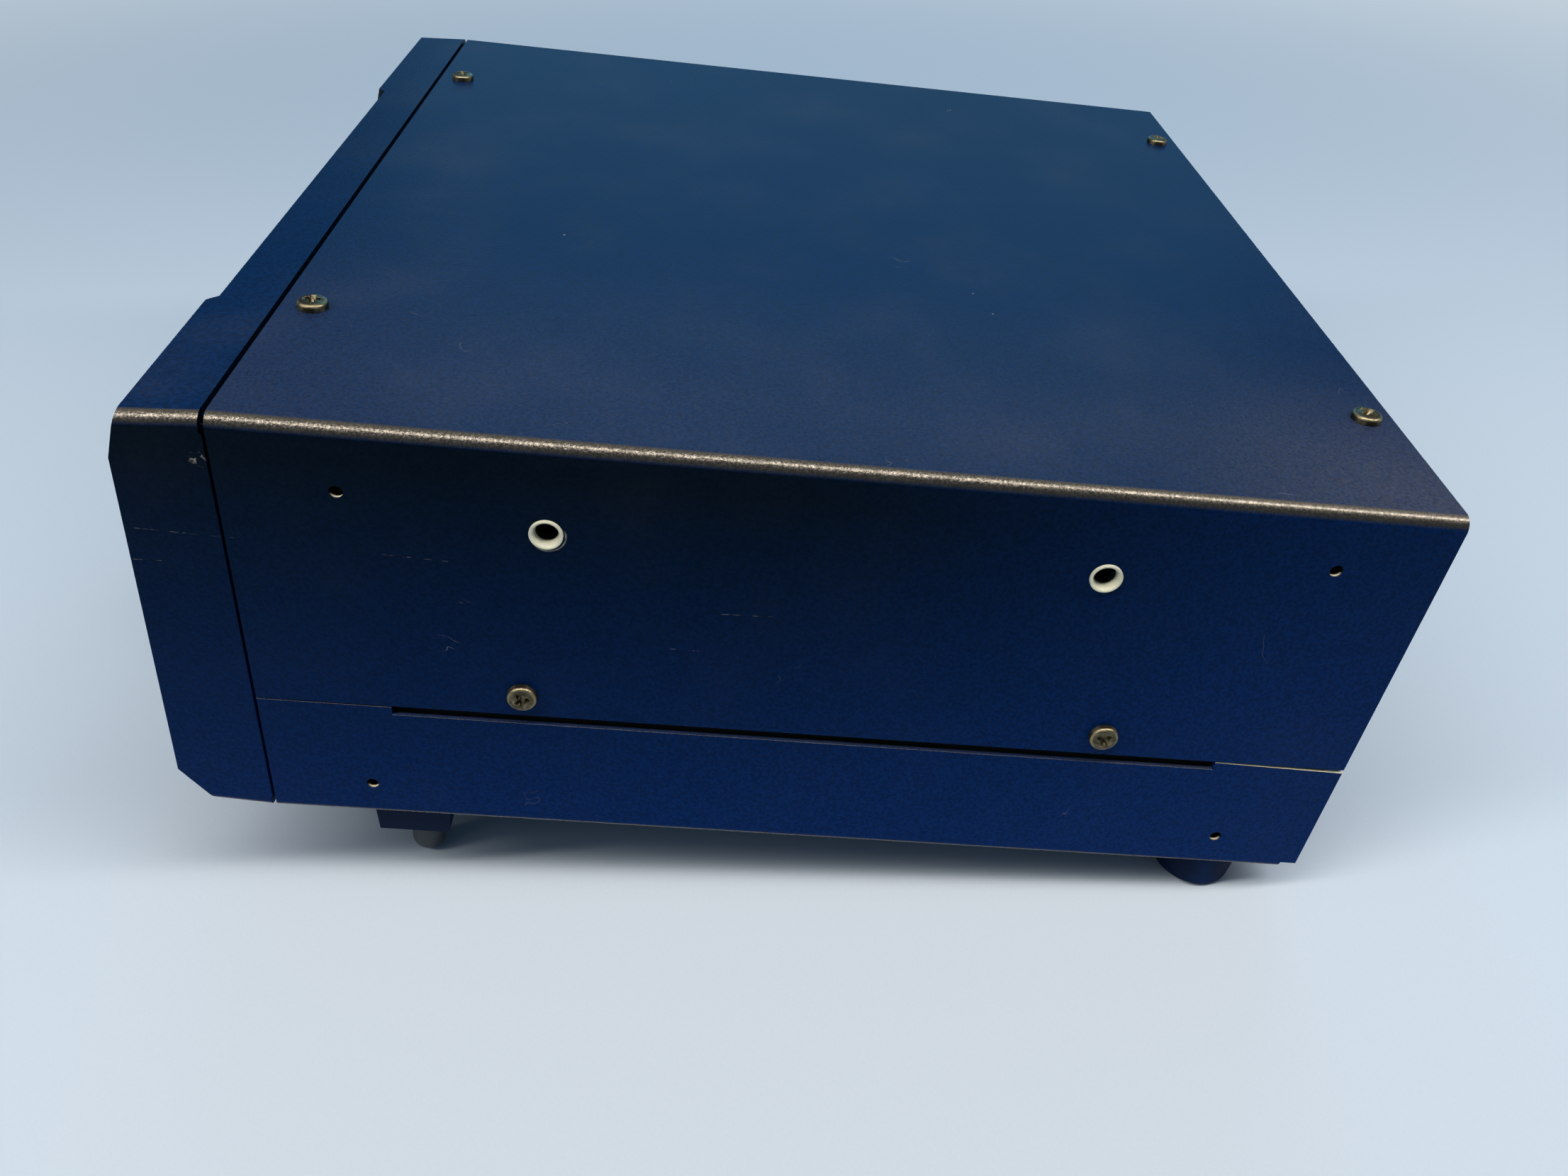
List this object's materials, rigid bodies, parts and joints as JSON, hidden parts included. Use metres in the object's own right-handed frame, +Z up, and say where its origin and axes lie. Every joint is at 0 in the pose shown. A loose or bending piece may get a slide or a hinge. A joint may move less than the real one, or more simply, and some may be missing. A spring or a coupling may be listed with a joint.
{
  "type": "communications receiver",
  "caption": "Table-top communications receiver: black sheet-metal case with fold-out front legs, a front panel of dial, knobs, keys and display, and sockets at the rear.",
  "frame": {"origin": "on the floor under the middle of the overall box, with the receiver standing on its two tilt legs and two rear feet", "axes": "+X to the operator's right, +Y to the rear along the floor, +Z up; the case itself is pitched nose-up by 4.49 degrees about X"},
  "size_m": [0.245, 0.2739, 0.1217],
  "materials": {
    "cover_paint": "fine textured black powder coat",
    "panel_plastic": "matt black moulding",
    "chassis_steel": "yellow-passivated sheet",
    "screw_black": "dark bronze plating",
    "nylon": "natural nylon",
    "window": "smoked clear window",
    "display": "liquid crystal panel",
    "circuit_board": "solder resist",
    "switch_plastic": "moulded",
    "knob_plastic": "matt moulded",
    "key_plastic": "satin moulded",
    "rubber": "matt",
    "nickel": "nickel plate",
    "leg_plastic": "light grey moulded",
    "foot_plastic": "matt moulded",
    "speaker_iron": "black lacquer",
    "socket_plastic": "moulded"
  },
  "bodies": {
    "case": {"top_cover": "cover_paint", "bottom_cover": "cover_paint", "chassis_frame": "chassis_steel", "rear_panel": "cover_paint", "front_panel": "panel_plastic", "top_cover_screws": "screw_black", "side_cover_screws": "screw_black", "bottom_cover_screws": "screw_black", "rear_panel_screws": "screw_black", "front_panel_screws": "screw_black", "board_screws": "screw_black", "foot_screws": "screw_black", "handle_bushes": "nylon", "display_window": "window", "display_module": "display", "front_board": "circuit_board", "key_switches": "switch_plastic", "tuning_encoder": "nickel", "control_pots": "nickel", "phones_jack": "nickel", "front_feet": "foot_plastic", "leg_pins": "nickel", "rear_feet": "rubber", "main_board": "circuit_board", "rf_shield_can": "chassis_steel", "speaker": "speaker_iron", "antenna_sockets": "nickel", "dc_socket": "socket_plastic", "rear_jacks": "socket_plastic", "accessory_socket": "socket_plastic", "ground_stud": "nickel", "ground_nut": "nickel"},
    "tuning_control": {"tuning_dial": "knob_plastic", "dial_grip": "rubber", "tuning_shaft": "nickel"},
    "af_gain_control": {"af_gain_knob": "knob_plastic", "af_gain_shaft": "nickel"},
    "squelch_control": {"squelch_knob": "knob_plastic", "squelch_shaft": "nickel"},
    "leg_left": {"tilt_leg_left": "leg_plastic"},
    "leg_right": {"tilt_leg_right": "leg_plastic"},
    "key_1": {"key_1": "key_plastic"},
    "key_2": {"key_2": "key_plastic"},
    "key_3": {"key_3": "key_plastic"},
    "key_4": {"key_4": "key_plastic"},
    "key_5": {"key_5": "key_plastic"},
    "key_6": {"key_6": "key_plastic"},
    "key_7": {"key_7": "key_plastic"},
    "key_8": {"key_8": "key_plastic"},
    "key_9": {"key_9": "key_plastic"},
    "key_point": {"key_point": "key_plastic"},
    "key_0": {"key_0": "key_plastic"},
    "key_enter": {"key_enter": "key_plastic"},
    "key_mode": {"key_mode": "key_plastic"},
    "key_step": {"key_step": "key_plastic"},
    "key_scan": {"key_scan": "key_plastic"},
    "key_memory": {"key_memory": "key_plastic"},
    "key_lock": {"key_lock": "key_plastic"},
    "key_attenuator": {"key_attenuator": "key_plastic"},
    "power_button": {"power_button": "key_plastic"}
  },
  "joints": [
    {"name": "tuning_turn", "type": "hinge", "parent": "case", "child": "tuning_control", "pos_m": [0.0453, -0.11546, 0.06226], "axis": [0, -0.9969, 0.0783], "continuous": true},
    {"name": "af_gain_turn", "type": "hinge", "parent": "case", "child": "af_gain_control", "pos_m": [-0.106, -0.11605, 0.07785], "axis": [0, -0.9969, 0.0783], "range_deg": [-150, 150]},
    {"name": "squelch_turn", "type": "hinge", "parent": "case", "child": "squelch_control", "pos_m": [-0.08, -0.11605, 0.07785], "axis": [0, -0.9969, 0.0783], "range_deg": [-150, 150]},
    {"name": "leg_left_fold", "type": "hinge", "parent": "case", "child": "leg_left", "pos_m": [-0.103, -0.07392, 0.02037], "axis": [0, -0.9969, 0.0783], "range_deg": [0, 102]},
    {"name": "leg_right_fold", "type": "hinge", "parent": "case", "child": "leg_right", "pos_m": [0.103, -0.07392, 0.02037], "axis": [0, 0.9969, -0.0783], "range_deg": [0, 102]},
    {"name": "key_1_press", "type": "slide", "parent": "case", "child": "key_1", "axis": [0, 0.9969, -0.0783], "range_m": [0, 0.0008], "stiffness_N_per_m": 400, "springref_m": -0.0005},
    {"name": "key_2_press", "type": "slide", "parent": "case", "child": "key_2", "axis": [0, 0.9969, -0.0783], "range_m": [0, 0.0008], "stiffness_N_per_m": 400, "springref_m": -0.0005},
    {"name": "key_3_press", "type": "slide", "parent": "case", "child": "key_3", "axis": [0, 0.9969, -0.0783], "range_m": [0, 0.0008], "stiffness_N_per_m": 400, "springref_m": -0.0005},
    {"name": "key_4_press", "type": "slide", "parent": "case", "child": "key_4", "axis": [0, 0.9969, -0.0783], "range_m": [0, 0.0008], "stiffness_N_per_m": 400, "springref_m": -0.0005},
    {"name": "key_5_press", "type": "slide", "parent": "case", "child": "key_5", "axis": [0, 0.9969, -0.0783], "range_m": [0, 0.0008], "stiffness_N_per_m": 400, "springref_m": -0.0005},
    {"name": "key_6_press", "type": "slide", "parent": "case", "child": "key_6", "axis": [0, 0.9969, -0.0783], "range_m": [0, 0.0008], "stiffness_N_per_m": 400, "springref_m": -0.0005},
    {"name": "key_7_press", "type": "slide", "parent": "case", "child": "key_7", "axis": [0, 0.9969, -0.0783], "range_m": [0, 0.0008], "stiffness_N_per_m": 400, "springref_m": -0.0005},
    {"name": "key_8_press", "type": "slide", "parent": "case", "child": "key_8", "axis": [0, 0.9969, -0.0783], "range_m": [0, 0.0008], "stiffness_N_per_m": 400, "springref_m": -0.0005},
    {"name": "key_9_press", "type": "slide", "parent": "case", "child": "key_9", "axis": [0, 0.9969, -0.0783], "range_m": [0, 0.0008], "stiffness_N_per_m": 400, "springref_m": -0.0005},
    {"name": "key_point_press", "type": "slide", "parent": "case", "child": "key_point", "axis": [0, 0.9969, -0.0783], "range_m": [0, 0.0008], "stiffness_N_per_m": 400, "springref_m": -0.0005},
    {"name": "key_0_press", "type": "slide", "parent": "case", "child": "key_0", "axis": [0, 0.9969, -0.0783], "range_m": [0, 0.0008], "stiffness_N_per_m": 400, "springref_m": -0.0005},
    {"name": "key_enter_press", "type": "slide", "parent": "case", "child": "key_enter", "axis": [0, 0.9969, -0.0783], "range_m": [0, 0.0008], "stiffness_N_per_m": 400, "springref_m": -0.0005},
    {"name": "key_mode_press", "type": "slide", "parent": "case", "child": "key_mode", "axis": [0, 0.9969, -0.0783], "range_m": [0, 0.0008], "stiffness_N_per_m": 400, "springref_m": -0.0005},
    {"name": "key_step_press", "type": "slide", "parent": "case", "child": "key_step", "axis": [0, 0.9969, -0.0783], "range_m": [0, 0.0008], "stiffness_N_per_m": 400, "springref_m": -0.0005},
    {"name": "key_scan_press", "type": "slide", "parent": "case", "child": "key_scan", "axis": [0, 0.9969, -0.0783], "range_m": [0, 0.0008], "stiffness_N_per_m": 400, "springref_m": -0.0005},
    {"name": "key_memory_press", "type": "slide", "parent": "case", "child": "key_memory", "axis": [0, 0.9969, -0.0783], "range_m": [0, 0.0008], "stiffness_N_per_m": 400, "springref_m": -0.0005},
    {"name": "key_lock_press", "type": "slide", "parent": "case", "child": "key_lock", "axis": [0, 0.9969, -0.0783], "range_m": [0, 0.0008], "stiffness_N_per_m": 400, "springref_m": -0.0005},
    {"name": "key_attenuator_press", "type": "slide", "parent": "case", "child": "key_attenuator", "axis": [0, 0.9969, -0.0783], "range_m": [0, 0.0008], "stiffness_N_per_m": 400, "springref_m": -0.0005},
    {"name": "power_button_press", "type": "slide", "parent": "case", "child": "power_button", "axis": [0, 0.9969, -0.0783], "range_m": [0, 0.002], "stiffness_N_per_m": 400, "springref_m": -0.0005}
  ]
}
